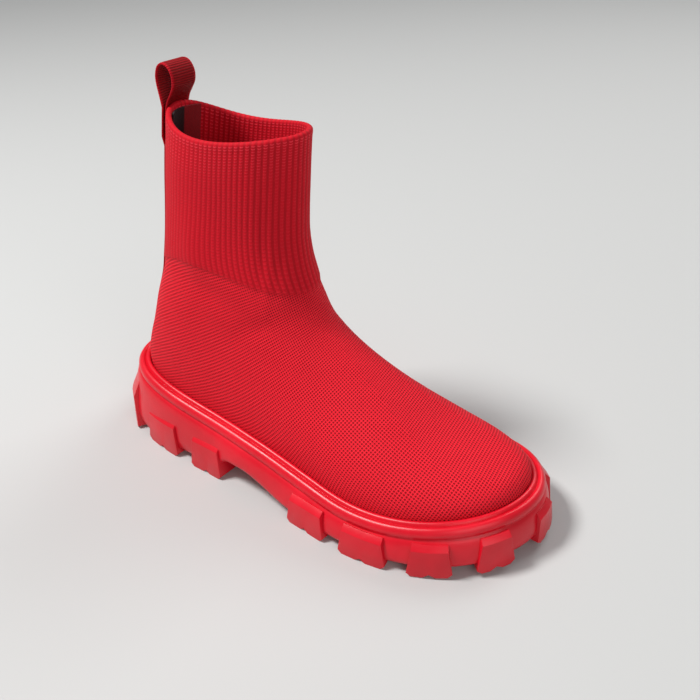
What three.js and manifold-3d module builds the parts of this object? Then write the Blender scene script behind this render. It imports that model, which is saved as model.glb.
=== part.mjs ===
// A knitted sock boot on a lugged sole: the wearer's right shoe, in millimetres, +Z up.
// +X runs from the heel to the toe and +Y to the inner (medial) side of the foot.
import * as THREE from 'three';
import Module from 'manifold-3d';
import { ConvexGeometry } from 'three/addons/geometries/ConvexGeometry.js';
import { mergeVertices } from 'three/addons/utils/BufferGeometryUtils.js';

const wasm = await Module();
wasm.setup();
const { clamp, lerp, smoothstep } = THREE.MathUtils;

// Driving sizes of the last
const LIP_LENGTH = 265.5; // inside the sole's lip, heel to toe
const BALL_WIDTH = 91.6; // inside the lip, across the ball
const TOE_SWING = 6.6; // how far the toe's tip lies to the inner side
const HEEL_LIP = 49.2; // height of the lip's crest above the floor at the heel
const WAIST_LIP = 34.8;
const BALL_LIP = 26.5;
const TOE_LIP = 33.5;
const COLLAR_HEIGHT = 215; // at the back of the collar, above the floor
const COLLAR_WIDTH = 51;

// Driving sizes of the knit
const WALL = 2.2;
const CUFF_STEP = 0.9; // the ribbed cuff stands this much proud of the plain knit
const RIM_RISE = 0.9; // roundness of the collar's edge
const GAP = 0.35; // clearance between pieces that touch

// Driving sizes of the sole
const CUP_DEPTH = 10; // from the lip's crest down to the cup's floor
const BEAD_PROUD = 8.2; // how far the welt bead stands out from the inside of the lip
const WALL_PROUD = 11.6; // foot of the side wall, measured the same way
const HEEL_FLARE = 2.7; // how much more the wall's foot stands out at the back of the heel
const FLARE_REACH = 55; // length over which that dies away
const LUG_PROUD = 13.7; // foot of the lugs' faces
const REAR_LUG_PROUD = 16.5; // foot of the faces of the two lugs at the back of the heel
const LUG_LEAN = 1; // how much less the top of a lug's face stands out than its foot
const LUG_TAPER = 2; // how much a lug narrows to its top, at each end
const LUG_REACH = 17; // how far a lug reaches in under the sole
const LUG_ROOT = 3; // a lug's root stays this far below the cup's floor
const TREAD_DEPTH = 4.8; // from the floor up to the sole's underside
const NOTCH = 2.2; // depth of the notch in a lug's foot
const NOTCH_WIDTH = 3; // half the width of that notch
const LUG_OVERLAP = 0.25; // the two halves of a lug run this far into each other
const LUG_SINK = 1.8; // the lugs' sloped tops run this far into the wall
const LUG_CORNER = 2.2; // chamfer at the foot of a lug's ends
const TOE_SPRING = 3;
const ARCH_HEIGHT = 15; // of the underside at the waist

// Driving sizes of the other pieces
const INSOLE_THICKNESS = 4;
const WEBBING_WIDTH = 16.6;
const WEBBING_THICKNESS = 1.3;
const LOOP_HEIGHT = 23.6; // above the back of the collar
const LOOP_DEPTH = 12.4; // front to back
const LOOP_LEAN = 0.8; // the loop's back bulges this far behind the collar
const STRAP_FOOT = 92; // height at which the webbing ends on the heel seam
const TUCK = 13; // length of the webbing's end sewn down under the strap
const TAPE_WIDTH = 27;
const TAPE_LENGTH = 36;
const TAPE_THICKNESS = 0.9;

// How finely curved forms are cut into facets
const AROUND = 56;

// Fullness of the outline on each side of the centre line, in shares of BALL_WIDTH
const OUTLINE = [
  { at: 0.0, lateral: 0.655, medial: 0.65 },
  { at: 0.122, lateral: 0.522, medial: 0.514 },
  { at: 0.283, lateral: 0.435, medial: 0.357 },
  { at: 0.435, lateral: 0.435, medial: 0.341 },
  { at: 0.576, lateral: 0.496, medial: 0.394 },
  { at: 0.707, lateral: 0.605, medial: 0.498 },
  { at: 0.828, lateral: 0.703, medial: 0.595 },
  { at: 0.939, lateral: 0.783, medial: 0.666 },
  { at: 1.0, lateral: 0.81, medial: 0.69 },
];

// Height of the lip's crest along the length
const LIP = [
  { at: 0.0, height: HEEL_LIP },
  { at: 0.445, height: WAIST_LIP },
  { at: 0.717, height: BALL_LIP },
  { at: 1.0, height: TOE_LIP },
];

// Rings of the upper from the lip to the collar. The back and front points of each ring are shares of
// LIP_LENGTH and, for the rises, of the height from the lip to the collar. Sag is the share of the
// lip's own curve that the ring keeps.
const RINGS = [
  { at: 0, back: 0.0013, backRise: 0.000, front: 0.9987, frontRise: 0.000, sag: 1.00 },
  { at: 1, back: 0.0034, backRise: 0.026, front: 0.9924, frontRise: 0.028, sag: 0.94 },
  { at: 2, back: 0.0075, backRise: 0.053, front: 0.9737, frontRise: 0.053, sag: 0.86 },
  { at: 3, back: 0.0142, backRise: 0.086, front: 0.9364, frontRise: 0.070, sag: 0.76 },
  { at: 4, back: 0.0235, backRise: 0.125, front: 0.8799, frontRise: 0.093, sag: 0.63 },
  { at: 5, back: 0.0362, backRise: 0.174, front: 0.8042, frontRise: 0.133, sag: 0.48 },
  { at: 6, back: 0.0478, backRise: 0.231, front: 0.7214, frontRise: 0.199, sag: 0.34 },
  { at: 7, back: 0.0597, backRise: 0.294, front: 0.6386, frontRise: 0.270, sag: 0.21 },
  { at: 8, back: 0.0724, backRise: 0.349, front: 0.5740, frontRise: 0.329, sag: 0.10 },
  { at: 9, back: 0.0802, backRise: 0.379, front: 0.5296, frontRise: 0.386, sag: 0.04 },
  { at: 10, back: 0.0895, backRise: 0.418, front: 0.4955, frontRise: 0.486, sag: 0.00 },
  { at: 11, back: 0.0995, backRise: 0.481, front: 0.4777, frontRise: 0.562, sag: 0.00 },
  { at: 12, back: 0.1107, backRise: 0.566, front: 0.4708, frontRise: 0.650, sag: 0.00 },
  { at: 13, back: 0.1212, backRise: 0.662, front: 0.4738, frontRise: 0.735, sag: 0.00 },
  { at: 14, back: 0.1324, backRise: 0.771, front: 0.4796, frontRise: 0.820, sag: 0.00 },
  { at: 15, back: 0.1451, backRise: 0.879, front: 0.4857, frontRise: 0.907, sag: 0.00 },
  { at: 16, back: 0.1600, backRise: 1.000, front: 0.4917, frontRise: 0.981, sag: 0.00 },
];

// How far each ring's outer and inner side is bowed up, in shares of COLLAR_HEIGHT
const BOWS = [
  { at: 4, lateral: 0.000, medial: 0.000 },
  { at: 5, lateral: 0.000, medial: 0.000 },
  { at: 6, lateral: 0.003, medial: 0.003 },
  { at: 7, lateral: 0.010, medial: 0.010 },
  { at: 8, lateral: 0.022, medial: 0.022 },
  { at: 9, lateral: 0.042, medial: 0.036 },
  { at: 10, lateral: 0.056, medial: 0.044 },
  { at: 11, lateral: 0.038, medial: 0.032 },
  { at: 12, lateral: 0.016, medial: 0.014 },
  { at: 13, lateral: 0.003, medial: -0.003 },
  { at: 14, lateral: -0.010, medial: -0.014 },
  { at: 15, lateral: -0.021, medial: -0.028 },
  { at: 16, lateral: -0.030, medial: -0.039 },
];
const BOW_SKEW = 0.6; // how much stronger the bow is towards the back seam
const CUFF_RING = 10;
const STEP_RUN = 0.08; // how much of a ring's rise the step in the wall takes
const TOP_RING = 16;

// Half-width of the ankle and shaft by height, in shares of COLLAR_WIDTH, and how far back and front
// the wall turns in towards the seam and the shin, in shares of LIP_LENGTH
const SHAFT = [
  { at: 0.2, side: 0.66, back: 0.165, front: 0.56 },
  { at: 0.3, side: 0.64, back: 0.165, front: 0.52 },
  { at: 0.38, side: 0.62, back: 0.168, front: 0.4 },
  { at: 0.46, side: 0.6, back: 0.172, front: 0.27 },
  { at: 0.55, side: 0.575, back: 0.176, front: 0.205 },
  { at: 0.7, side: 0.54, back: 0.178, front: 0.185 },
  { at: 0.85, side: 0.515, back: 0.174, front: 0.178 },
  { at: 1.0, side: 0.5, back: 0.165, front: 0.17 },
];

// Side lugs: from and to are shares of the outline's length on one side, from heel back to toe tip,
// top is the lug's height above the floor, slope is the height of its sloped top, and proud is how far
// the foot of its face stands out. The last lug of the outer side sits across the toe's tip.
const LATERAL_LUGS = [
  { from: 0.022, to: 0.1, top: 36, slope: 12, proud: REAR_LUG_PROUD },
  { from: 0.133, to: 0.222, top: 24, slope: 3.2, proud: LUG_PROUD },
  { from: 0.262, to: 0.345, top: 23, slope: 3.2, proud: LUG_PROUD },
  { from: 0.53, to: 0.62, top: 19.5, slope: 3.2, proud: LUG_PROUD },
  { from: 0.653, to: 0.738, top: 19.5, slope: 3.2, proud: LUG_PROUD },
  { from: 0.772, to: 0.84, top: 20.5, slope: 3.2, proud: LUG_PROUD },
  { from: 0.875, to: 0.933, top: 22, slope: 3.2, proud: LUG_PROUD },
  { from: 0.978, to: 1.036, top: 19.5, slope: 3.2, proud: LUG_PROUD },
];
const MEDIAL_LUGS = [
  { from: 0.022, to: 0.1, top: 36, slope: 12, proud: REAR_LUG_PROUD },
  { from: 0.133, to: 0.222, top: 24, slope: 3.2, proud: LUG_PROUD },
  { from: 0.262, to: 0.345, top: 23, slope: 3.2, proud: LUG_PROUD },
  { from: 0.53, to: 0.615, top: 19.5, slope: 3.2, proud: LUG_PROUD },
  { from: 0.65, to: 0.73, top: 19.5, slope: 3.2, proud: LUG_PROUD },
  { from: 0.77, to: 0.842, top: 20.5, slope: 3.2, proud: LUG_PROUD },
  { from: 0.877, to: 0.935, top: 22, slope: 3.2, proud: LUG_PROUD },
];

// The webbing's loop above the collar: depth in shares of LOOP_DEPTH from its hindmost place, and
// height in shares of LOOP_HEIGHT above the collar
const LOOP = [
  { depth: 0.02, height: 0.25 },
  { depth: 0.0, height: 0.5 },
  { depth: 0.05, height: 0.74 },
  { depth: 0.22, height: 0.93 },
  { depth: 0.5, height: 1.0 },
  { depth: 0.8, height: 0.93 },
  { depth: 0.99, height: 0.74 },
  { depth: 0.93, height: 0.52 },
  { depth: 0.66, height: 0.33 },
  { depth: 0.38, height: 0.16 },
];

// Value of a table's column at a place, on a smooth curve through its rows
function along(rows, column, at) {
  const last = rows.length - 1;
  let i = 0;
  while (i < last - 1 && at > rows[i + 1].at) i += 1;
  const slope = (j) => {
    const before = rows[Math.max(j - 1, 0)];
    const after = rows[Math.min(j + 1, last)];
    return (after[column] - before[column]) / (after.at - before.at);
  };
  const span = rows[i + 1].at - rows[i].at;
  const t = clamp((at - rows[i].at) / span, 0, 1);
  const ease = t * t * (3 - 2 * t);
  const leave = t * (1 - t) * (1 - t) * span * slope(i);
  const arrive = t * t * (1 - t) * span * slope(i + 1);
  return lerp(rows[i][column], rows[i + 1][column], ease) + leave - arrive;
}

const lipHeight = (x) => along(LIP, 'height', clamp(x / LIP_LENGTH, 0, 1));
const centreLine = (x) => TOE_SWING * clamp((x / LIP_LENGTH - 0.45) / 0.55, 0, 1) ** 1.5;

// Half-width of the lip's outline at a place, on one side of the centre line
function lipHalfWidth(x, side) {
  const share = clamp(x / LIP_LENGTH, 0, 1);
  return 2 * Math.sqrt(share * (1 - share)) * BALL_WIDTH * along(OUTLINE, side, share);
}

// Point of the lip's outline at an angle: 0 at the heel, pi at the toe, the outer side first
function lipPoint(angle) {
  const x = LIP_LENGTH * (1 - Math.cos(angle)) / 2;
  const side = Math.sin(angle) >= 0 ? 'lateral' : 'medial';
  const turn = side === 'lateral' ? -1 : 1;
  return new THREE.Vector2(x, centreLine(x) + turn * lipHalfWidth(x, side));
}

function lipNormal(angle) {
  const step = 0.02;
  const ahead = lipPoint(angle + step);
  const run = ahead.sub(lipPoint(angle - step)).normalize();
  return new THREE.Vector2(run.y, -run.x);
}

// Point of the outline moved outwards by a distance
function outlinePoint(angle, proud) {
  return lipPoint(angle).addScaledVector(lipNormal(angle), proud);
}

const ANGLES = Array.from({ length: AROUND }, (_, i) => 2 * Math.PI * i / AROUND);

// One closed ring that follows the outline, moved out and placed at a height for each point
function outlineRing(proud, heightAt) {
  return ANGLES.map((angle) => {
    const point = outlinePoint(angle, typeof proud === 'function' ? proud(angle) : proud);
    return new THREE.Vector3(point.x, point.y, heightAt(point.x));
  });
}

// Closed geometry through rings of equal count, with flat ends laid across from side to side
function loft(rings, closed = false) {
  const count = rings[0].length;
  const index = [];
  const quad = (a, b, c, d) => index.push(a, b, c, a, c, d);
  const bands = closed ? rings.length : rings.length - 1;
  for (let r = 0; r < bands; r += 1) {
    const low = r * count;
    const high = ((r + 1) % rings.length) * count;
    for (let i = 0; i < count; i += 1) {
      const next = (i + 1) % count;
      quad(low + i, low + next, high + next, high + i);
    }
  }
  if (!closed) {
    const cap = (base, up) => {
      for (let i = 0; i < count / 2; i += 1) {
        const near = [i, i + 1];
        const far = [(count - i) % count, count - i - 1];
        const corners = [near[0], near[1], far[1], far[0]].map((k) => base + k);
        if (!up) corners.reverse();
        const loop = corners.filter((k, j) => k !== corners[(j + 1) % 4]);
        if (loop.length === 4) quad(...loop);
        if (loop.length === 3) index.push(...loop);
      }
    };
    cap(0, false);
    cap((rings.length - 1) * count, true);
  }
  const geometry = new THREE.BufferGeometry();
  const flat = rings.flat().flatMap((point) => [point.x, point.y, point.z]);
  geometry.setAttribute('position', new THREE.Float32BufferAttribute(flat, 3));
  geometry.setIndex(index);
  return geometry;
}

function toSolid(geometry) {
  const bare = geometry.clone();
  bare.deleteAttribute('normal');
  bare.deleteAttribute('uv');
  const merged = mergeVertices(bare, 1e-4);
  const mesh = new wasm.Mesh({
    numProp: 3,
    vertProperties: new Float32Array(merged.attributes.position.array),
    triVerts: new Uint32Array(merged.index.array),
  });
  return new wasm.Manifold(mesh);
}

function toGeometry(solid) {
  const mesh = solid.getMesh();
  const geometry = new THREE.BufferGeometry();
  geometry.setAttribute('position', new THREE.Float32BufferAttribute(mesh.vertProperties, 3));
  geometry.setIndex(new THREE.Uint32BufferAttribute(mesh.triVerts, 1));
  return geometry;
}

function piece(name, geometry, color, roughness) {
  const faceted = geometry.index ? geometry.toNonIndexed() : geometry;
  faceted.computeVertexNormals();
  const material = new THREE.MeshStandardMaterial({ color, roughness, metalness: 0 });
  const mesh = new THREE.Mesh(faceted, material);
  mesh.name = name;
  return mesh;
}

// Back seam, shin and vamp ridge, sampled from the rings' end points
const STEPS_PER_RING = 12;
const PROFILE = Array.from({ length: TOP_RING * STEPS_PER_RING + 1 }, (_, i) => {
  const ring = i / STEPS_PER_RING;
  return {
    back: along(RINGS, 'back', ring) * LIP_LENGTH,
    backHeight: lerp(HEEL_LIP, COLLAR_HEIGHT, along(RINGS, 'backRise', ring)),
    front: along(RINGS, 'front', ring) * LIP_LENGTH,
    frontHeight: lerp(TOE_LIP, COLLAR_HEIGHT, along(RINGS, 'frontRise', ring)),
  };
});

// Straight-line reading of one column of the profile against another that only rises or only falls
function readProfile(from, to, value) {
  const sign = PROFILE[PROFILE.length - 1][from] > PROFILE[0][from] ? 1 : -1;
  let i = 0;
  while (i < PROFILE.length - 2 && sign * value > sign * PROFILE[i + 1][from]) i += 1;
  const low = PROFILE[i];
  const high = PROFILE[i + 1];
  const t = (value - low[from]) / (high[from] - low[from]);
  return lerp(low[to], high[to], Math.max(t, 0));
}

// Height of the vamp's ridge, carried on up to the back as a slope over the ankle
const THROAT = along(RINGS, 'front', 9) * LIP_LENGTH;
const THROAT_SLOPE = 1.2;
function ridgeHeight(x) {
  if (x >= THROAT) return readProfile('front', 'frontHeight', x);
  return readProfile('front', 'frontHeight', THROAT) + THROAT_SLOPE * (THROAT - x);
}

// Quarter of a rounded end: 0 at the edge and 1 at full depth
const ROUND = 2.1;
const roundedEnd = (depth) => (1 - (1 - clamp(depth, 0, 1)) ** ROUND) ** (1 / ROUND);

// Half-width of the foot of the upper: the lip's outline under an arch from lip to ridge
const ANKLE = 0.45 * LIP_LENGTH;
const ARCH_ROUND = 2.15;
function footHalfWidth(x, z, side) {
  const back = readProfile('backHeight', 'back', z);
  const moved = x < ANKLE ? ANKLE * (x - back) / (ANKLE - back) : x;
  const lip = lipHeight(x);
  const climb = clamp((z - lip) / (ridgeHeight(x) - lip), 0, 1);
  return lipHalfWidth(Math.max(moved, 0), side) * (1 - climb ** ARCH_ROUND) ** (1 / ARCH_ROUND);
}

// Half-width of the ankle and shaft: rounded in from the back seam and from the shin
function shaftHalfWidth(x, z) {
  const height = z / COLLAR_HEIGHT;
  const back = (x - readProfile('backHeight', 'back', z)) / (along(SHAFT, 'back', height) * LIP_LENGTH);
  const front = (readProfile('frontHeight', 'front', z) - x) / (along(SHAFT, 'front', height) * LIP_LENGTH);
  return along(SHAFT, 'side', height) * COLLAR_WIDTH * roundedEnd(back) * roundedEnd(front);
}

function halfWidth(x, z, side) {
  const lift = smoothstep(z, lipHeight(x) + 0.03 * COLLAR_HEIGHT, 0.54 * COLLAR_HEIGHT);
  return lerp(footHalfWidth(x, z, side), shaftHalfWidth(x, z), lift);
}

// One ring of the knit's outer face, from the heel round the outer side to the toe and back
function knitRing(ring) {
  const row = (column) => along(RINGS, column, ring);
  const back = row('back') * LIP_LENGTH;
  const front = row('front') * LIP_LENGTH;
  const backHeight = lerp(HEEL_LIP, COLLAR_HEIGHT, row('backRise'));
  const frontHeight = lerp(TOE_LIP, COLLAR_HEIGHT, row('frontRise'));
  return ANGLES.map((angle, i) => {
    const share = (1 - Math.cos(angle)) / 2;
    const x = lerp(back, front, share);
    const lipCurve = lipHeight(x) - lerp(HEEL_LIP, TOE_LIP, share);
    const side = Math.sin(angle) >= 0 ? 'lateral' : 'medial';
    const lift = along(BOWS, side, ring) * COLLAR_HEIGHT;
    const bow = lift * Math.sin(angle) ** 2 * (1 + BOW_SKEW * Math.cos(angle));
    const z = lerp(backHeight, frontHeight, share) + row('sag') * lipCurve + bow;
    const turn = side === 'lateral' ? -1 : 1;
    const atEnd = i === 0 || i === AROUND / 2;
    const width = atEnd ? 0 : halfWidth(x, z, side);
    return new THREE.Vector3(x, centreLine(x) + turn * width, z);
  });
}

// Outward direction at each point of a grid of rings
function gridNormals(rings) {
  return rings.map((ring, r) => ring.map((point, i) => {
    const count = ring.length;
    const across = new THREE.Vector3().subVectors(ring[(i + 1) % count], ring[(i + count - 1) % count]);
    const above = rings[Math.min(r + 1, rings.length - 1)][i];
    const below = rings[Math.max(r - 1, 0)][i];
    return across.cross(new THREE.Vector3().subVectors(above, below)).normalize();
  }));
}

const floorHeight = (x) => lipHeight(x) - CUP_DEPTH;

// The knitted upper: one wall from the cup's floor to the collar, thicker over the ribbed cuff
function makeUpper() {
  const foot = outlineRing(-GAP, (x) => floorHeight(x) + GAP);
  const lip = outlineRing(-GAP, lipHeight);
  const levels = [];
  for (let ring = 1; ring <= TOP_RING; ring += 1) levels.push(ring);
  levels.splice(CUFF_RING, 0, CUFF_RING + STEP_RUN);
  const rings = [foot, lip, ...levels.map(knitRing)];
  const normals = gridNormals(rings);
  const inCuff = (r) => r >= 2 && levels[r - 2] > CUFF_RING;
  const move = (r, i, distance) => rings[r][i].clone().addScaledVector(normals[r][i], distance);
  const outer = rings.map((ring, r) => ring.map((_, i) => move(r, i, inCuff(r) ? CUFF_STEP : 0)));
  const inner = rings.map((ring, r) => ring.map((_, i) => move(r, i, -WALL)));
  const top = rings.length - 1;
  const rim = rings[top].map((_, i) => {
    const middle = outer[top][i].clone().add(inner[top][i]).multiplyScalar(0.5);
    return middle.add(new THREE.Vector3(0, 0, RIM_RISE));
  });
  return loft([...outer, rim, ...inner.reverse()], true);
}

// Underside of the sole: flat at heel and ball, arched at the waist, sprung at the toe
const springAt = (x) => TOE_SPRING * clamp((x / LIP_LENGTH - 0.78) / 0.22, 0, 1.3) ** 2;
function undersideHeight(x) {
  const share = x / LIP_LENGTH;
  const arch = smoothstep(share, 0.3, 0.36) * (1 - smoothstep(share, 0.4, 0.56));
  return TREAD_DEPTH + (ARCH_HEIGHT - TREAD_DEPTH) * arch + springAt(x);
}

// The side wall's foot flares out round the back of the heel
const flareAt = (angle) => HEEL_FLARE * (1 - smoothstep(lipPoint(angle).x, 0, FLARE_REACH));

// Section of the cup's wall from its floor over lip, groove and welt bead to the side wall
const BEADS = [
  { proud: 0, drop: CUP_DEPTH },
  { proud: 0, drop: 1.2 },
  { proud: 0.8, drop: 0 },
  { proud: 2.2, drop: 0.2 },
  { proud: 3.1, drop: 1.5 },
  { proud: 3.5, drop: 2.2 },
  { proud: 4.2, drop: 1.4 },
  { proud: 5.4, drop: 1.1 },
  { proud: 6.9, drop: 2.1 },
  { proud: BEAD_PROUD, drop: 4.6 },
  { proud: BEAD_PROUD - 0.7, drop: 6.4 },
  { proud: BEAD_PROUD + 0.3, drop: 9.5 },
];

// Section of the side wall below the beads: inset from the foot's reach, share of the heel's flare,
// and share of the height from the underside to the cup's floor
const WALL_FOOT = [
  { inset: 1, flare: 0.6, rise: 0.7 },
  { inset: 0.1, flare: 1, rise: 0.3 },
  { inset: 0.5, flare: 1, rise: 0.08 },
  { inset: 3, flare: 1, rise: 0 },
];

// Length of the outline on one side, as a lookup from share of length to angle
function sideOfOutline(turn) {
  const steps = 180;
  const lengths = [0];
  for (let i = 1; i <= steps; i += 1) {
    const a = lipPoint(turn * Math.PI * (i - 1) / steps);
    const b = lipPoint(turn * Math.PI * i / steps);
    lengths.push(lengths[i - 1] + a.distanceTo(b));
  }
  const angleAt = (share) => {
    const wanted = share * lengths[steps];
    let i = 0;
    while (i < steps - 1 && lengths[i + 1] < wanted) i += 1;
    const t = (wanted - lengths[i]) / (lengths[i + 1] - lengths[i]);
    return turn * Math.PI * (i + t) / steps;
  };
  return { angleAt, perLength: 1 / lengths[steps] };
}

// Half of one lug, from its end to the notch in its middle
function halfLug({ angleAt, perLength }, end, middle, { top, slope, proud: face }) {
  const inward = Math.sign(middle - end);
  const past = middle + inward * LUG_OVERLAP * perLength;
  const stations = [
    { share: end, rise: LUG_CORNER },
    { share: end + inward * LUG_CORNER * perLength, rise: 0 },
    { share: middle - inward * NOTCH_WIDTH * perLength, rise: 0 },
    { share: past, rise: NOTCH },
  ];
  const points = [];
  const add = (angle, proud, height) => {
    const point = outlinePoint(angle, proud);
    points.push(new THREE.Vector3(point.x, point.y, height + springAt(point.x)));
  };
  for (const { share, rise } of stations) {
    const angle = angleAt(share);
    add(angle, face, rise);
    add(angle, -LUG_REACH, rise);
  }
  for (const share of [end + inward * LUG_TAPER * perLength, past]) {
    const angle = angleAt(share);
    add(angle, face - LUG_LEAN, top - slope);
    add(angle, WALL_PROUD - LUG_SINK, top);
    const root = floorHeight(lipPoint(angle).x) - LUG_ROOT;
    add(angle, 0, Math.min(root, top) - springAt(outlinePoint(angle, 0).x));
    add(angle, -LUG_REACH, TREAD_DEPTH + 1);
  }
  return toSolid(new ConvexGeometry(points));
}

function makeSole() {
  const rings = BEADS.map(({ proud, drop }) => outlineRing(proud, (x) => lipHeight(x) - drop));
  for (const { inset, flare, rise } of WALL_FOOT) {
    const proud = (angle) => WALL_PROUD - inset + flare * flareAt(angle);
    rings.push(outlineRing(proud, (x) => lerp(undersideHeight(x), lipHeight(x) - CUP_DEPTH, rise)));
  }
  let sole = toSolid(loft(rings.reverse()));
  for (const [turn, lugs] of [[1, LATERAL_LUGS], [-1, MEDIAL_LUGS]]) {
    const edge = sideOfOutline(turn);
    for (const lug of lugs) {
      const middle = (lug.from + lug.to) / 2;
      sole = sole.add(halfLug(edge, lug.from, middle, lug));
      sole = sole.add(halfLug(edge, lug.to, middle, lug));
    }
  }
  return toGeometry(sole);
}

function makeInsole() {
  const inset = -(GAP + WALL + GAP);
  const low = outlineRing(inset, (x) => floorHeight(x) + GAP);
  const high = outlineRing(inset, (x) => floorHeight(x) + GAP + INSOLE_THICKNESS);
  return loft([low, high]);
}

// Where the knit's outer face passes at a distance from the back seam, found by halving
function backFace(y, z) {
  let near = readProfile('backHeight', 'back', z);
  let far = near + ANKLE / 2;
  const side = y < 0 ? 'lateral' : 'medial';
  for (let i = 0; i < 24; i += 1) {
    const middle = (near + far) / 2;
    if (halfWidth(middle, z, side) < Math.abs(y)) near = middle;
    else far = middle;
  }
  return near;
}

// Point at a distance out from that face, or in from it where the distance is negative
function besideBackFace(y, z, out) {
  const step = 0.2;
  const x = backFace(y, z);
  const slope = (backFace(y + step, z) - backFace(y - step, z)) / (2 * step);
  const normal = new THREE.Vector2(-1, slope).normalize();
  return new THREE.Vector3(x + normal.x * out, y + normal.y * out, z);
}

// Strip of even thickness through a grid of points, one row for each place along it
function strip(rows, thickness) {
  const normals = rows.map((row, r) => row.map((_, i) => {
    const across = row[Math.min(i + 1, row.length - 1)].clone().sub(row[Math.max(i - 1, 0)]);
    const next = rows[Math.min(r + 1, rows.length - 1)][i];
    const before = rows[Math.max(r - 1, 0)][i];
    return across.cross(next.clone().sub(before)).normalize();
  }));
  const face = (r, half) => rows[r].map((point, i) => point.clone().addScaledVector(normals[r][i], half));
  return loft(rows.map((_, r) => [...face(r, -thickness / 2).reverse(), ...face(r, thickness / 2)]));
}

const STRIP_COLUMNS = 7;
const LOOP_FACETS = 22;
const STRAP_RISE = [0, 0.09, 0.18, 0.27, 0.36, 0.45, 0.54, 0.63, 0.72, 0.8, 0.84, 0.88, 0.92, 0.96, 1];
const columnsAcross = (width) => Array.from({ length: STRIP_COLUMNS }, (_, i) => (
  width * (i / (STRIP_COLUMNS - 1) - 0.5)
));
const CUFF_FOOT = lerp(HEEL_LIP, COLLAR_HEIGHT, along(RINGS, 'backRise', CUFF_RING));

// One length of webbing: up the back seam, over in a loop, and its end sewn down under the strap
function makePullLoop() {
  const columns = columnsAcross(WEBBING_WIDTH);
  const middle = (row) => row[(STRIP_COLUMNS - 1) / 2];
  const leg = (z, out) => columns.map((y) => besideBackFace(y, z, out));
  const onKnit = GAP + WEBBING_THICKNESS / 2;
  const onCuff = onKnit + CUFF_STEP;
  const layer = WEBBING_THICKNESS + GAP;
  const strap = STRAP_RISE.map((share) => {
    const z = lerp(STRAP_FOOT, COLLAR_HEIGHT, share);
    const overCuff = smoothstep(z, CUFF_FOOT - 8, CUFF_FOOT - 2);
    const overEnd = smoothstep(z, COLLAR_HEIGHT - TUCK - 10, COLLAR_HEIGHT - TUCK - 3);
    return leg(z, lerp(onKnit, onCuff + GAP, overCuff) + layer * overEnd);
  });
  const tuck = [0, 0.5, 1].map((share) => leg(COLLAR_HEIGHT - share * TUCK, onCuff));
  const start = strap[strap.length - 1];
  const end = tuck[0];
  const hindmost = middle(start).x - LOOP_LEAN;
  const path = new THREE.CatmullRomCurve3([
    middle(start),
    ...LOOP.map(({ depth, height }) => (
      new THREE.Vector3(hindmost + depth * LOOP_DEPTH, 0, COLLAR_HEIGHT + height * LOOP_HEIGHT)
    )),
    middle(end),
  ]);
  const loop = path.getSpacedPoints(LOOP_FACETS).slice(1, -1).map((place, i, all) => {
    const seam = i < all.length / 2 ? start : end;
    const flatness = smoothstep(place.z - COLLAR_HEIGHT, 0, 0.7 * LOOP_HEIGHT);
    return columns.map((y, j) => {
      const curled = place.clone().add(seam[j]).sub(middle(seam));
      return curled.lerp(new THREE.Vector3(place.x, y, place.z), flatness);
    });
  });
  return strip([...strap, ...loop, ...tuck], WEBBING_THICKNESS);
}

// Plain tape inside the back of the collar, over the stitches that hold the webbing
function makeCollarTape() {
  const out = -(WALL + GAP + TAPE_THICKNESS / 2);
  const rows = [0, 0.25, 0.5, 0.75, 1].map((share) => (
    columnsAcross(TAPE_WIDTH).map((y) => besideBackFace(y, COLLAR_HEIGHT - 2 - share * TAPE_LENGTH, out))
  ));
  return strip(rows.reverse(), TAPE_THICKNESS);
}

const RED = 0xd0101c;
const group = new THREE.Group();
group.add(piece('sole', makeSole(), RED, 0.35));
group.add(piece('upper', makeUpper(), RED, 0.9));
group.add(piece('insole', makeInsole(), 0x8c1018, 0.9));
group.add(piece('pull_loop', makePullLoop(), 0xb00c16, 0.85));
group.add(piece('collar_tape', makeCollarTape(), 0x1c0508, 0.9));

// The origin is the middle of the boot's footprint, on the floor
const box = new THREE.Box3().setFromObject(group);
group.position.set(-(box.min.x + box.max.x) / 2, -(box.min.y + box.max.y) / 2, -box.min.z);
group.updateMatrixWorld(true);

export default group;
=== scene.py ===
import bisect
import math

import bpy
from mathutils import Matrix, Vector


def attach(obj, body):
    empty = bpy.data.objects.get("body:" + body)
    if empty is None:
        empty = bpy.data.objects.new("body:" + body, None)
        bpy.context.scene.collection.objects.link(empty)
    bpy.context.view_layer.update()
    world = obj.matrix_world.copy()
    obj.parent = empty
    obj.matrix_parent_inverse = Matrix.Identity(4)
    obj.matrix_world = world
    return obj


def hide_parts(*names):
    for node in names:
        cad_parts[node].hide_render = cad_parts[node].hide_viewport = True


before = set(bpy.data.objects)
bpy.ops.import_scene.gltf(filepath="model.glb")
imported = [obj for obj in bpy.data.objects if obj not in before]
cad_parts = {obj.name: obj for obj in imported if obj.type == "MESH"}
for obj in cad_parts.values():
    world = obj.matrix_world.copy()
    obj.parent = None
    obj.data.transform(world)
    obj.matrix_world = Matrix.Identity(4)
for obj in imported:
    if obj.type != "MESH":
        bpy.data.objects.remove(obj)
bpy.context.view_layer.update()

MM = 0.001
CAMERA_PLACE = Vector((272.43, -354.15, 361.74)) * MM
CAMERA_LOOK = Vector((-0.4870, 0.6938, -0.5304)).normalized()
CAMERA_ROLL = 0.0322
CAMERA_LENS = 46.286

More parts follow.
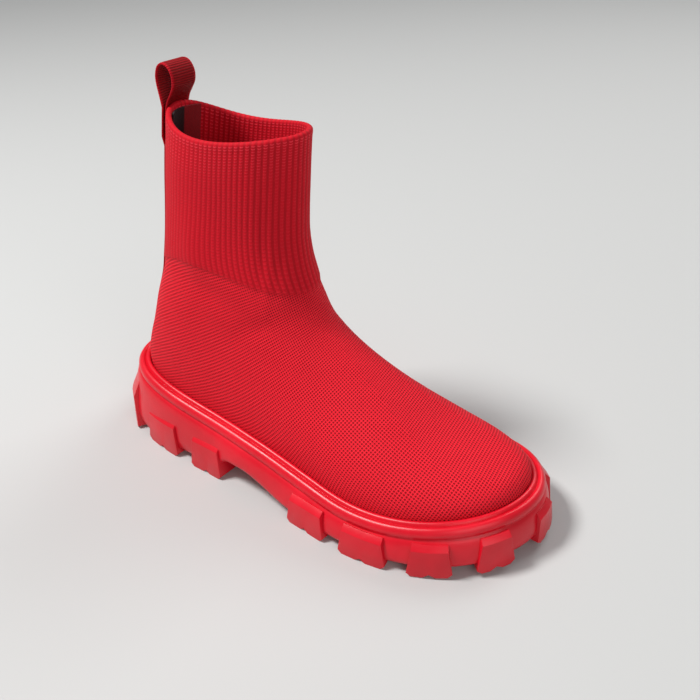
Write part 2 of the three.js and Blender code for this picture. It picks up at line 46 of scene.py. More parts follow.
bpy.ops.object.select_all(action="DESELECT")
level_right = CAMERA_LOOK.cross(Vector((0, 0, 1))).normalized()
level_up = level_right.cross(CAMERA_LOOK)
camera_right = level_right * math.cos(CAMERA_ROLL) - level_up * math.sin(CAMERA_ROLL)
camera_up = camera_right.cross(CAMERA_LOOK)
bpy.ops.object.camera_add()
camera = bpy.context.object
camera.name = "camera"
camera.data.lens = CAMERA_LENS
camera.data.sensor_width = 36
camera.data.clip_start = 0.01
turn = Matrix((camera_right, camera_up, -CAMERA_LOOK)).transposed().to_4x4()
camera.matrix_world = Matrix.Translation(CAMERA_PLACE) @ turn
bpy.context.scene.camera = camera
bpy.context.scene.view_settings.view_transform = "Standard"

# The last is the form that both the knit and the sole are made round. Its sizes are in millimetres
# from the inside of the heel's lip; the outline's fullness is given in shares of the ball's width.
LIP_LENGTH = 265.5
BALL_WIDTH = 91.6
TOE_SWING = 6.6
HEEL_LIP, WAIST_LIP, BALL_LIP, TOE_LIP = 49.2, 34.8, 26.5, 33.5
CUP_DEPTH = 10
TOE_SPRING = 3
TREAD_DEPTH = 4.8
ARCH_HEIGHT = 15
FOOTPRINT_MIDDLE = Vector((132.012, -1.547, 0))

OUTLINE = [
    {"at": 0.0, "lateral": 0.655, "medial": 0.65},
    {"at": 0.122, "lateral": 0.522, "medial": 0.514},
    {"at": 0.283, "lateral": 0.435, "medial": 0.357},
    {"at": 0.435, "lateral": 0.435, "medial": 0.341},
    {"at": 0.576, "lateral": 0.496, "medial": 0.394},
    {"at": 0.707, "lateral": 0.605, "medial": 0.498},
    {"at": 0.828, "lateral": 0.703, "medial": 0.595},
    {"at": 0.939, "lateral": 0.783, "medial": 0.666},
    {"at": 1.0, "lateral": 0.81, "medial": 0.69},
]
LIP = [
    {"at": 0.0, "height": HEEL_LIP},
    {"at": 0.445, "height": WAIST_LIP},
    {"at": 0.717, "height": BALL_LIP},
    {"at": 1.0, "height": TOE_LIP},
]


def clamp(value, low, high):
    return max(low, min(high, value))


def lerp(a, b, share):
    return a + (b - a) * share


def smoothstep(value, start, end):
    share = clamp((value - start) / (end - start), 0, 1)
    return share * share * (3 - 2 * share)


def along(rows, column, at):
    """Value of a table's column at a place, on a smooth curve through its rows."""
    last = len(rows) - 1
    i = clamp(bisect.bisect_right([row["at"] for row in rows], at) - 1, 0, last - 1)

    def slope(j):
        before, after = rows[max(j - 1, 0)], rows[min(j + 1, last)]
        return (after[column] - before[column]) / (after["at"] - before["at"])

    low, high = rows[i], rows[i + 1]
    span = high["at"] - low["at"]
    t = clamp((at - low["at"]) / span, 0, 1)
    eased = lerp(low[column], high[column], t * t * (3 - 2 * t))
    return eased + t * (1 - t) ** 2 * span * slope(i) - t * t * (1 - t) * span * slope(i + 1)


def lip_height(x):
    return along(LIP, "height", clamp(x / LIP_LENGTH, 0, 1))


def centre_line(x):
    return TOE_SWING * clamp((x / LIP_LENGTH - 0.45) / 0.55, 0, 1) ** 1.5


def lip_half_width(x, side):
    share = clamp(x / LIP_LENGTH, 0, 1)
    return 2 * math.sqrt(share * (1 - share)) * BALL_WIDTH * along(OUTLINE, side, share)


def side_of(angle):
    return ("lateral", -1) if math.sin(angle) >= 0 else ("medial", 1)


def lip_point(angle):
    """Point of the lip's outline: angle 0 at the heel, pi at the toe, the outer side first."""
    x = LIP_LENGTH * (1 - math.cos(angle)) / 2
    side, sign = side_of(angle)
    return Vector((x, centre_line(x) + sign * lip_half_width(x, side)))


def outline_point(angle, proud):
    run = (lip_point(angle + 0.02) - lip_point(angle - 0.02)).normalized()
    return lip_point(angle) + Vector((run.y, -run.x)) * proud


def spring_at(x):
    return TOE_SPRING * clamp((x / LIP_LENGTH - 0.78) / 0.22, 0, 1.3) ** 2


def underside_height(x):
    share = x / LIP_LENGTH
    arch = smoothstep(share, 0.3, 0.36) * (1 - smoothstep(share, 0.4, 0.56))
    return TREAD_DEPTH + (ARCH_HEIGHT - TREAD_DEPTH) * arch + spring_at(x)


def wrapped_grid(name, columns, rows, place):
    """A flat grid laid round the last: place turns its two shares into a point in millimetres."""
    bpy.ops.mesh.primitive_grid_add(x_subdivisions=columns, y_subdivisions=rows, size=2)
    piece = bpy.context.object
    piece.name = piece.data.name = name
    for vertex in piece.data.vertices:
        point = place((vertex.co.x + 1) / 2, (vertex.co.y + 1) / 2)
        vertex.co = (Vector(point) - FOOTPRINT_MIDDLE) * MM
    return piece


def close_seams(piece, gap=1e-6):
    """Merges the grid's meeting edges and turns its faces outwards."""
    bpy.ops.object.select_all(action="DESELECT")
    piece.select_set(True)
    bpy.context.view_layer.objects.active = piece
    bpy.ops.object.mode_set(mode="EDIT")
    bpy.ops.mesh.select_all(action="SELECT")
    bpy.ops.mesh.remove_doubles(threshold=gap)
    bpy.ops.mesh.dissolve_degenerate(threshold=gap)
    bpy.ops.mesh.normals_make_consistent(inside=False)
    bpy.ops.object.mode_set(mode="OBJECT")


def finish_piece(piece, node, material):
    piece.data.materials.clear()
    piece.data.materials.append(material)
    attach(piece, "root")
    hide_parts(node)


class Socket:
    """An output of a node, with arithmetic that adds the nodes it needs."""

    def __init__(self, finish, output):
        self.finish, self.output = finish, output

    def maths(self, operation, *values):
        inputs = dict(enumerate((self, *values)))
        return self.finish.add("ShaderNodeMath", {"operation": operation}, inputs)

    def __add__(self, other):
        return self.maths("ADD", other)

    def __mul__(self, other):
        return self.maths("MULTIPLY", other)

    def __sub__(self, other):
        return self.maths("SUBTRACT", other)

    def __rsub__(self, other):
        return self.maths("MULTIPLY", -1).maths("ADD", other)

    __radd__ = __add__
    __rmul__ = __mul__

    def wave(self, turns=1.0):
        """Cosine that comes round once for each whole number."""
        return (self * (2 * math.pi * turns)).maths("COSINE")

    def between(self, low, high):
        """0 below low, 1 above high, and smooth between them."""
        settings = {"interpolation_type": "SMOOTHSTEP"}
        return self.finish.add("ShaderNodeMapRange", settings, {0: self, 1: low, 2: high, 3: 0.0, 4: 1.0})


class Finish:
    """A material built up from nodes round one principled surface."""

    def __init__(self, name, roughness, **sockets):
        self.material = bpy.data.materials.new(name)
        self.material.use_nodes = True
        self.tree = self.material.node_tree
        self.surface = self.tree.nodes["Principled BSDF"]
        self.set("Roughness", roughness)
        for key, value in sockets.items():
            self.set(key.replace("_", " "), value)

    def add(self, kind, settings, inputs, output=0):
        node = self.tree.nodes.new(kind)
        for key, value in settings.items():
            if key == "stops":
                for element, (position, colour) in zip(node.color_ramp.elements, value):
                    element.position, element.color = position, (*colour, 1)
            else:
                setattr(node, key, value)
        for key, value in inputs.items():
            if isinstance(value, Socket):
                self.tree.links.new(value.output, node.inputs[key])
            else:
                node.inputs[key].default_value = value
        return Socket(self, node.outputs[output])

    def set(self, name, value):
        if isinstance(value, Socket):
            self.tree.links.new(value.output, self.surface.inputs[name])
        else:
            self.surface.inputs[name].default_value = value

    def coordinates(self, kind="Object"):
        return self.add("ShaderNodeTexCoord", {}, {}, kind)

    def uv(self, name):
        """The two shares of a UV map, each as a number."""
        pair = self.add("ShaderNodeUVMap", {"uv_map": name}, {})
        split = self.add("ShaderNodeSeparateXYZ", {}, {0: pair})
        return split, Socket(self, split.output.node.outputs[1])

    def noise(self, where, scale, detail=3.0, rough=0.55):
        return self.add("ShaderNodeTexNoise", {}, {"Vector": where, "Scale": scale, "Detail": detail,
                                                   "Roughness": rough})

    def mix(self, share, first, second):
        colours = [value if isinstance(value, Socket) else (*value, 1) for value in (first, second)]
        inputs = {0: share, 6: colours[0], 7: colours[1]}
        return self.add("ShaderNodeMix", {"data_type": "RGBA"}, inputs, 2)

    def relief(self, *layers):
        """Bumps in metres, one on another: (height, distance)."""
        normal = None
        for height, distance in layers:
            inputs = {"Height": height, "Distance": distance, "Strength": 1.0}
            if normal:
                inputs["Normal"] = normal
            normal = self.add("ShaderNodeBump", {}, inputs)
        self.set("Normal", normal)


# The unit sole is one moulding of satin rubber: a cup that takes the knit, a thin lip bead, a groove, a
# wide rounded welt bead with the mould's parting line under it, and the side wall down to the tread.
WALL_PROUD = 11.6  # reach of the side wall's foot beyond the inside of the lip
HEEL_FLARE, FLARE_REACH = 2.7, 55  # how much more at the heel, and over what length it dies away
SOLE_COLUMNS = 288
SECTION = [
    {"proud": 0.0, "drop": 10.0},
    {"proud": 0.0, "drop": 4.0},
    {"proud": 0.0, "drop": 1.4},
    {"proud": 0.18, "drop": 0.6},
    {"proud": 0.6, "drop": 0.14},
    {"proud": 1.2, "drop": 0.0},
    {"proud": 1.9, "drop": 0.08},
    {"proud": 2.5, "drop": 0.45},
    {"proud": 2.95, "drop": 1.05},
    {"proud": 3.2, "drop": 1.8},
    {"proud": 3.45, "drop": 2.1},
    {"proud": 3.75, "drop": 1.95},
    {"proud": 4.05, "drop": 1.5},
    {"proud": 4.6, "drop": 1.15},
    {"proud": 5.3, "drop": 1.1},
    {"proud": 6.1, "drop": 1.4},
    {"proud": 6.9, "drop": 2.1},
    {"proud": 7.6, "drop": 3.1},
    {"proud": 8.05, "drop": 4.2},
    {"proud": 8.2, "drop": 5.2},
    {"proud": 8.1, "drop": 6.1},
    {"proud": 7.85, "drop": 6.8},
    {"proud": 7.55, "drop": 7.2},
    {"proud": 7.55, "drop": 7.55},
    {"proud": 7.85, "drop": 7.9},
    {"proud": 8.4, "drop": 8.5},
    {"proud": 9.1, "drop": 9.5},
]
FOOT_EDGE = [
    {"inset": 1.5, "flare": 0.3, "rise": 0.85},
    {"inset": 0.8, "flare": 0.6, "rise": 0.65},
    {"inset": 0.3, "flare": 0.85, "rise": 0.42},
    {"inset": 0.05, "flare": 1.0, "rise": 0.26},
    {"inset": 0.25, "flare": 1.0, "rise": 0.13},
    {"inset": 0.9, "flare": 1.0, "rise": 0.05},
    {"inset": 1.9, "flare": 1.0, "rise": 0.012},
    {"inset": 3.0, "flare": 1.0, "rise": 0.0},
]
SQUEEZES = [0.9, 0.75, 0.6, 0.45, 0.3, 0.15, 0.0]


def section_point(angle, step):
    """Point of the sole's skin: the cup's floor, the section outwards and down, then the underside."""
    def squeezed(proud, squeeze, height_at):
        point = outline_point(angle, proud)
        middle = centre_line(point.x)
        return Vector((point.x, lerp(middle, point.y, squeeze), height_at(point.x)))

    flare = HEEL_FLARE * (1 - smoothstep(lip_point(angle).x, 0, FLARE_REACH))
    if step < len(SQUEEZES):
        squeeze = SQUEEZES[len(SQUEEZES) - 1 - step]
        return squeezed(0, squeeze, lambda x: lip_height(x) - CUP_DEPTH)
    step -= len(SQUEEZES)
    if step < len(SECTION):
        row = SECTION[step]
        return squeezed(row["proud"], 1, lambda x: lip_height(x) - row["drop"])
    step -= len(SECTION)
    if step < len(FOOT_EDGE):
        row = FOOT_EDGE[step]
        proud = WALL_PROUD - row["inset"] + row["flare"] * flare

        def rising(x):
            return lerp(underside_height(x), lip_height(x) - CUP_DEPTH, row["rise"])

        return squeezed(proud, 1, rising)
    step -= len(FOOT_EDGE)
    return squeezed(WALL_PROUD - FOOT_EDGE[-1]["inset"] + flare, SQUEEZES[step], underside_height)


section_steps = 2 * len(SQUEEZES) + len(SECTION) + len(FOOT_EDGE) - 1
sole_body = wrapped_grid(
    "sole_body", SOLE_COLUMNS, section_steps,
    lambda u, v: section_point(2 * math.pi * u, round(v * section_steps)))
close_seams(sole_body)
bpy.ops.object.shade_smooth_by_angle(angle=math.radians(50))

rubber = Finish("moulded_sole_rubber", 0.36)
place = rubber.coordinates()
clouds = rubber.noise(place, 38.0, 3.0)
grain = rubber.noise(place, 1500.0, 2.0)
scuffs = rubber.noise(place, 210.0, 5.0, 0.7).between(0.6, 0.78)
height = rubber.add("ShaderNodeSeparateXYZ", {}, {0: place}, 2)
dust = (1 - height.between(0.0, 0.012)) * clouds.between(0.35, 0.7)
tint = rubber.mix(clouds.between(0.3, 0.7), (0.58, 0.002, 0.013), (0.68, 0.003, 0.017))
tint = rubber.mix(scuffs * 0.06, tint, (0.75, 0.08, 0.10))
rubber.set("Base Color", rubber.mix(dust * 0.15, tint, (0.32, 0.06, 0.05)))
rubber.set("Roughness", clouds.between(0.2, 0.8) * 0.08 + scuffs * 0.10 + dust * 0.2 + 0.30)
rubber.surface.inputs["Specular IOR Level"].default_value = 0.4
rubber.relief((grain, 0.00006), (clouds, 0.0003))
finish_piece(sole_body, "sole", rubber.material)

# The side lugs are moulded with the sole: blocks with a sloped top, a lean to the face, a notch in the
# middle of the foot and small chamfers at its ends, all softly rounded as they leave the mould.
LUG_PROUD, REAR_LUG_PROUD = 13.7, 16.5
LUG_LEAN = 1
LUG_TAPER = 2
LUG_SINK = 1.8
LUG_REACH = 17
LUG_ROOT = 3
NOTCH, NOTCH_WIDTH = 2.2, 3.0
LUG_CORNER = 2.2
LUG_ROUNDING, REAR_LUG_ROUNDING = 1.3, 2.6
LATERAL_LUGS = [
    {"from": 0.022, "to": 0.1, "top": 36, "slope": 12, "proud": REAR_LUG_PROUD},
    {"from": 0.133, "to": 0.222, "top": 24, "slope": 3.2, "proud": LUG_PROUD},
    {"from": 0.262, "to": 0.345, "top": 23, "slope": 3.2, "proud": LUG_PROUD},
    {"from": 0.53, "to": 0.62, "top": 19.5, "slope": 3.2, "proud": LUG_PROUD},
    {"from": 0.653, "to": 0.738, "top": 19.5, "slope": 3.2, "proud": LUG_PROUD},
    {"from": 0.772, "to": 0.84, "top": 20.5, "slope": 3.2, "proud": LUG_PROUD},
    {"from": 0.875, "to": 0.933, "top": 22, "slope": 3.2, "proud": LUG_PROUD},
    {"from": 0.978, "to": 1.036, "top": 19.5, "slope": 3.2, "proud": LUG_PROUD},
]
MEDIAL_LUGS = [
    {"from": 0.022, "to": 0.1, "top": 36, "slope": 12, "proud": REAR_LUG_PROUD},
    {"from": 0.133, "to": 0.222, "top": 24, "slope": 3.2, "proud": LUG_PROUD},
    {"from": 0.262, "to": 0.345, "top": 23, "slope": 3.2, "proud": LUG_PROUD},
    {"from": 0.53, "to": 0.615, "top": 19.5, "slope": 3.2, "proud": LUG_PROUD},
    {"from": 0.65, "to": 0.73, "top": 19.5, "slope": 3.2, "proud": LUG_PROUD},
    {"from": 0.77, "to": 0.842, "top": 20.5, "slope": 3.2, "proud": LUG_PROUD},
    {"from": 0.877, "to": 0.935, "top": 22, "slope": 3.2, "proud": LUG_PROUD},
]
EDGE_STEPS = 360


def edge_of(sign):
    """Running length of one side of the outline, and the angle at a share of it."""
    lengths = [0.0]
    for i in range(1, EDGE_STEPS + 1):
        a, b = (lip_point(sign * math.pi * k / EDGE_STEPS) for k in (i - 1, i))
        lengths.append(lengths[-1] + (b - a).length)

    def angle_at(share):
        wanted = share * lengths[-1]
        i = clamp(bisect.bisect_right(lengths, wanted) - 1, 0, EDGE_STEPS - 1)
        t = (wanted - lengths[i]) / (lengths[i + 1] - lengths[i])
        return sign * math.pi * (i + t) / EDGE_STEPS

    return angle_at, lengths[-1]


def lug_stations(lug, length):
    """Places along a lug and how far its foot is raised at each."""
    middle = (lug["from"] + lug["to"]) / 2
    corner, notch = LUG_CORNER / length, NOTCH_WIDTH / length
    return [
        (lug["from"], LUG_CORNER), (lug["from"] + corner, 0), (middle - notch, 0),
        (middle, NOTCH), (middle + notch, 0), (lug["to"] - corner, 0), (lug["to"], LUG_CORNER),
    ]


def lug_section(angle, top_angle, rise, lug):
    """Closed section of a lug at one place, from the underside round the foot and face to the root."""
    def at(proud, height, sprung=True, angle=top_angle):
        point = outline_point(angle, proud)
        return Vector((point.x, point.y, height + (spring_at(point.x) if sprung else 0)))

    top, face = lug["top"], lug["proud"]
    root = min(lip_height(lip_point(angle).x) - CUP_DEPTH - LUG_ROOT, top)
    return [
        at(-LUG_REACH, rise, angle=angle), at(face, rise, angle=angle),
        at(face - LUG_LEAN, top - lug["slope"]), at(WALL_PROUD - LUG_SINK, top),
        at(0, root, False), at(-LUG_REACH, TREAD_DEPTH + 1),
    ]


lugs = []
for sign, rows in ((1, LATERAL_LUGS), (-1, MEDIAL_LUGS)):
    angle_at, length = edge_of(sign)
    for lug in rows:
        sections = []
        for share, rise in lug_stations(lug, length):
            top_share = clamp(share, lug["from"] + LUG_TAPER / length, lug["to"] - LUG_TAPER / length)
            sections.append(lug_section(angle_at(share), angle_at(top_share), rise, lug))
        corners = len(sections[0])
        block = wrapped_grid(
            "lug", len(sections) - 1, corners,
            lambda u, v: sections[round(u * (len(sections) - 1))][round(v * corners) % corners])
        close_seams(block)
        bpy.ops.object.mode_set(mode="EDIT")
        bpy.ops.mesh.select_all(action="DESELECT")
        bpy.ops.mesh.select_mode(type="EDGE")
        bpy.ops.mesh.select_non_manifold()
        bpy.ops.mesh.fill_holes(sides=0)
        bpy.ops.mesh.select_all(action="SELECT")
        bpy.ops.mesh.normals_make_consistent(inside=False)
        bpy.ops.object.mode_set(mode="OBJECT")
        rounding = block.modifiers.new("rounding", "BEVEL")
        rounding.width = (LUG_ROUNDING if lug["proud"] == LUG_PROUD else REAR_LUG_ROUNDING) * MM
        rounding.segments = 3
        rounding.limit_method = "ANGLE"
        rounding.angle_limit = math.radians(18)
        bpy.ops.object.modifier_apply(modifier=rounding.name)
        lugs.append(block)
for block in lugs:
    block.select_set(True)
bpy.context.view_layer.objects.active = lugs[0]
bpy.ops.object.join()
sole_lugs = bpy.context.object
sole_lugs.name = sole_lugs.data.name = "sole_lugs"
bpy.ops.object.shade_smooth_by_angle(angle=math.radians(35))
finish_piece(sole_lugs, "sole", rubber.material)

# The insole is a cut footbed of thin foam faced with plain cloth, dropped in on the cup's floor. The
# photograph doesn't show it.
GAP = 0.35
WALL = 2.2
INSOLE_THICKNESS = 4
INSOLE_ROWS = [
    {"inset": 0.5, "rise": 0.0, "squeeze": 0.0},
    {"inset": 0.5, "rise": 0.0, "squeeze": 0.5},
    {"inset": 0.5, "rise": 0.0, "squeeze": 1.0},
    {"inset": 0.0, "rise": 0.12, "squeeze": 1.0},
    {"inset": 0.0, "rise": 0.85, "squeeze": 1.0},
    {"inset": 0.35, "rise": 0.97, "squeeze": 1.0},
    {"inset": 1.1, "rise": 1.0, "squeeze": 1.0},
    {"inset": 3.0, "rise": 0.96, "squeeze": 1.0},
    {"inset": 6.0, "rise": 0.88, "squeeze": 1.0},
    {"inset": 6.0, "rise": 0.8, "squeeze": 0.6},
    {"inset": 6.0, "rise": 0.78, "squeeze": 0.3},
    {"inset": 6.0, "rise": 0.78, "squeeze": 0.0},
]


def insole_point(u, v):
    row = INSOLE_ROWS[round(v * (len(INSOLE_ROWS) - 1))]
    point = outline_point(2 * math.pi * u, -(2 * GAP + WALL) - row["inset"])
    middle = centre_line(point.x)
    height = lip_height(point.x) - CUP_DEPTH + GAP + INSOLE_THICKNESS * row["rise"]
    return Vector((point.x, lerp(middle, point.y, row["squeeze"]), height))


insole = wrapped_grid("insole_footbed", 160, len(INSOLE_ROWS) - 1, insole_point)
close_seams(insole)
bpy.ops.object.shade_smooth_by_angle(angle=math.radians(50))
footbed = Finish("footbed_cloth", 0.92)
place = footbed.coordinates()
threads = footbed.add("ShaderNodeSeparateXYZ", {}, {0: place})
across = Socket(footbed, threads.output.node.outputs[1])
weave = threads.wave(1 / (0.9 * MM)) * across.wave(1 / (0.9 * MM))
blotch = footbed.noise(place, 60.0).between(0.3, 0.75)
tint = footbed.mix(weave.between(-0.6, 0.8), (0.16, 0.004, 0.010), (0.27, 0.008, 0.018))
footbed.set("Base Color", footbed.mix(blotch * 0.35, tint, (0.20, 0.004, 0.012)))
footbed.relief((weave, 0.00012))
finish_piece(insole, "insole", footbed.material)

# The upper is one knitted bootie, foot and shaft in one, pulled over the last: plain bird's-eye pique
# over the foot and, knitted on above it, a thicker ribbed cuff that ends in a soft rolled rim.
COLLAR_HEIGHT, COLLAR_WIDTH = 215, 51
CUFF_STEP = 0.9
CUFF_RING, TOP_RING = 10, 16
BOW_SKEW = 0.6
RIBS = 72
COLUMNS_PER_RIB = 6
RIB_DEPTH = 0.3
# The first ribs, from the back seam over the outer side, are faint; further round they come clear.
FAINT_RIB, RIBS_CLEAR = 0.4, (7, 25)
RIM_HEIGHT = 3.0
RIM_PROUD = 0.15
ANKLE = 0.45 * LIP_LENGTH
THROAT_RING, THROAT_SLOPE = 9, 1.2
FOOT_ROUND, SHAFT_ROUND = 2.15, 2.1
PROFILE_STEPS = 12
RINGS = [
    {"at": 0, "back": 0.0013, "backRise": 0.000, "front": 0.9987, "frontRise": 0.000, "sag": 1.00},
    {"at": 1, "back": 0.0034, "backRise": 0.026, "front": 0.9924, "frontRise": 0.028, "sag": 0.94},
    {"at": 2, "back": 0.0075, "backRise": 0.053, "front": 0.9737, "frontRise": 0.053, "sag": 0.86},
    {"at": 3, "back": 0.0142, "backRise": 0.086, "front": 0.9364, "frontRise": 0.070, "sag": 0.76},
    {"at": 4, "back": 0.0235, "backRise": 0.125, "front": 0.8799, "frontRise": 0.093, "sag": 0.63},
    {"at": 5, "back": 0.0362, "backRise": 0.174, "front": 0.8042, "frontRise": 0.133, "sag": 0.48},
    {"at": 6, "back": 0.0478, "backRise": 0.231, "front": 0.7214, "frontRise": 0.199, "sag": 0.34},
    {"at": 7, "back": 0.0597, "backRise": 0.294, "front": 0.6386, "frontRise": 0.270, "sag": 0.21},
    {"at": 8, "back": 0.0724, "backRise": 0.349, "front": 0.5740, "frontRise": 0.329, "sag": 0.10},
    {"at": 9, "back": 0.0802, "backRise": 0.379, "front": 0.5296, "frontRise": 0.386, "sag": 0.04},
    {"at": 10, "back": 0.0895, "backRise": 0.418, "front": 0.4955, "frontRise": 0.486, "sag": 0.00},
    {"at": 11, "back": 0.0995, "backRise": 0.481, "front": 0.4777, "frontRise": 0.562, "sag": 0.00},
    {"at": 12, "back": 0.1107, "backRise": 0.566, "front": 0.4708, "frontRise": 0.650, "sag": 0.00},
    {"at": 13, "back": 0.1212, "backRise": 0.662, "front": 0.4738, "frontRise": 0.735, "sag": 0.00},
    {"at": 14, "back": 0.1324, "backRise": 0.771, "front": 0.4796, "frontRise": 0.820, "sag": 0.00},
    {"at": 15, "back": 0.1451, "backRise": 0.879, "front": 0.4857, "frontRise": 0.907, "sag": 0.00},
    {"at": 16, "back": 0.1600, "backRise": 1.000, "front": 0.4917, "frontRise": 0.981, "sag": 0.00},
]
BOWS = [
    {"at": 0, "lateral": 0.000, "medial": 0.000},
    {"at": 5, "lateral": 0.000, "medial": 0.000},
    {"at": 6, "lateral": 0.003, "medial": 0.003},
    {"at": 7, "lateral": 0.010, "medial": 0.010},
    {"at": 8, "lateral": 0.022, "medial": 0.022},
    {"at": 9, "lateral": 0.042, "medial": 0.036},
    {"at": 10, "lateral": 0.056, "medial": 0.044},
    {"at": 11, "lateral": 0.038, "medial": 0.032},
    {"at": 12, "lateral": 0.016, "medial": 0.014},
    {"at": 13, "lateral": 0.003, "medial": -0.003},
    {"at": 14, "lateral": -0.010, "medial": -0.014},
    {"at": 15, "lateral": -0.021, "medial": -0.028},
    {"at": 16, "lateral": -0.030, "medial": -0.039},
]
SHAFT = [
    {"at": 0.2, "side": 0.66, "back": 0.165, "front": 0.56},
    {"at": 0.3, "side": 0.64, "back": 0.165, "front": 0.52},
    {"at": 0.38, "side": 0.62, "back": 0.168, "front": 0.4},
    {"at": 0.46, "side": 0.6, "back": 0.172, "front": 0.27},
    {"at": 0.55, "side": 0.575, "back": 0.176, "front": 0.205},
    {"at": 0.7, "side": 0.54, "back": 0.178, "front": 0.185},
    {"at": 0.85, "side": 0.515, "back": 0.174, "front": 0.178},
    {"at": 1.0, "side": 0.5, "back": 0.165, "front": 0.17},
]

profile = []
for i in range(TOP_RING * PROFILE_STEPS + 1):
    ring = i / PROFILE_STEPS
    profile.append({
        "back": along(RINGS, "back", ring) * LIP_LENGTH,
        "backHeight": lerp(HEEL_LIP, COLLAR_HEIGHT, along(RINGS, "backRise", ring)),
        "front": along(RINGS, "front", ring) * LIP_LENGTH,
        "frontHeight": lerp(TOE_LIP, COLLAR_HEIGHT, along(RINGS, "frontRise", ring)),
    })
profile_columns = {name: [row[name] for row in profile] for name in profile[0]}
profile_front_reach = [-value for value in profile_columns["front"]]


def read_profile(source, result, value):
    """Straight-line reading of one column of the boot's side view against another."""
    if source == "front":
        keys, value = profile_front_reach, -value
    else:
        keys = profile_columns[source]
    i = clamp(bisect.bisect_left(keys, value) - 1, 0, len(keys) - 2)
    t = (value - keys[i]) / (keys[i + 1] - keys[i])
    values = profile_columns[result]
    return lerp(values[i], values[i + 1], max(t, 0))


throat = along(RINGS, "front", THROAT_RING) * LIP_LENGTH


def ridge_height(x):
    if x >= throat:
        return read_profile("front", "frontHeight", x)
    return read_profile("front", "frontHeight", throat) + THROAT_SLOPE * (throat - x)


def arched(share, power):
    return max(1 - clamp(share, 0, 1) ** power, 0) ** (1 / power)


def foot_half_width(x, z, side):
    back = read_profile("backHeight", "back", z)
    moved = ANKLE * (x - back) / (ANKLE - back) if x < ANKLE else x
    lip = lip_height(x)
    climb = (z - lip) / (ridge_height(x) - lip)
    return lip_half_width(max(moved, 0), side) * arched(climb, FOOT_ROUND)


def shaft_half_width(x, z):
    height = z / COLLAR_HEIGHT
    back = (x - read_profile("backHeight", "back", z)) / (along(SHAFT, "back", height) * LIP_LENGTH)
    front = (read_profile("frontHeight", "front", z) - x) / (along(SHAFT, "front", height) * LIP_LENGTH)
    ends = [arched(1 - clamp(depth, 0, 1), SHAFT_ROUND) for depth in (back, front)]
    return along(SHAFT, "side", height) * COLLAR_WIDTH * ends[0] * ends[1]


def half_width(x, z, side):
    lift = smoothstep(z, lip_height(x) + 0.03 * COLLAR_HEIGHT, 0.54 * COLLAR_HEIGHT)
    if lift <= 0:
        return foot_half_width(x, z, side)
    if lift >= 1:
        return shaft_half_width(x, z)
    return lerp(foot_half_width(x, z, side), shaft_half_width(x, z), lift)


def knit_point(angle, ring, row):
    """Point of the plain knit's outer face; row holds the ring's own values."""
    share = (1 - math.cos(angle)) / 2
    x = lerp(row["back"], row["front"], share) * LIP_LENGTH
    side, sign = side_of(angle)
    back_height = lerp(HEEL_LIP, COLLAR_HEIGHT, row["backRise"])
    front_height = lerp(TOE_LIP, COLLAR_HEIGHT, row["frontRise"])
    lip_curve = lip_height(x) - lerp(HEEL_LIP, TOE_LIP, share)
    bow = row[side] * COLLAR_HEIGHT * math.sin(angle) ** 2 * (1 + BOW_SKEW * math.cos(angle))
    z = lerp(back_height, front_height, share) + row["sag"] * lip_curve + bow
    at_end = abs(math.sin(angle)) < 1e-6
    width = 0 if at_end else half_width(x, z, side) - 0.5 * GAP * max(1 - ring, 0)
    return Vector((x, centre_line(x) + sign * width, z))


def ring_row(ring):
    row = {name: along(RINGS, name, ring) for name in ("back", "backRise", "front", "frontRise", "sag")}
    return row | {side: along(BOWS, side, ring) for side in ("lateral", "medial")}


# Columns are spread evenly round the collar, so that every rib is as wide as the next.
COLLAR_STEPS = 720
collar_row = ring_row(TOP_RING)
collar_angles = [2 * math.pi * i / COLLAR_STEPS for i in range(COLLAR_STEPS + 1)]
collar_points = [knit_point(angle, TOP_RING, collar_row) for angle in collar_angles]
collar_run = [0.0]
for before, after in zip(collar_points, collar_points[1:]):
    collar_run.append(collar_run[-1] + (after - before).length)


def angle_of_column(u):
    wanted = u * collar_run[-1]
    i = clamp(bisect.bisect_right(collar_run, wanted) - 1, 0, COLLAR_STEPS - 1)
    t = (wanted - collar_run[i]) / (collar_run[i + 1] - collar_run[i])
    return lerp(collar_angles[i], collar_angles[i + 1], t)


# Levels of the grid's rows: tucked into the cup, over the foot, across the cuff's step, up the shaft
levels = [-1, -0.6, -0.3, 0]
levels += [0.25 * i for i in range(1, 4 * CUFF_RING)]
levels += [CUFF_RING - 0.12, CUFF_RING - 0.04, CUFF_RING + 0.02, CUFF_RING + 0.08, CUFF_RING + 0.16]
levels += [CUFF_RING + 0.35 * i for i in range(1, 17)]
levels += [TOP_RING - shares for shares in (0.22, 0.14, 0.09, 0.05, 0.02, 0)]
level_rows = [ring_row(max(level, 0)) for level in levels]
UPPER_COLUMNS = RIBS * COLUMNS_PER_RIB

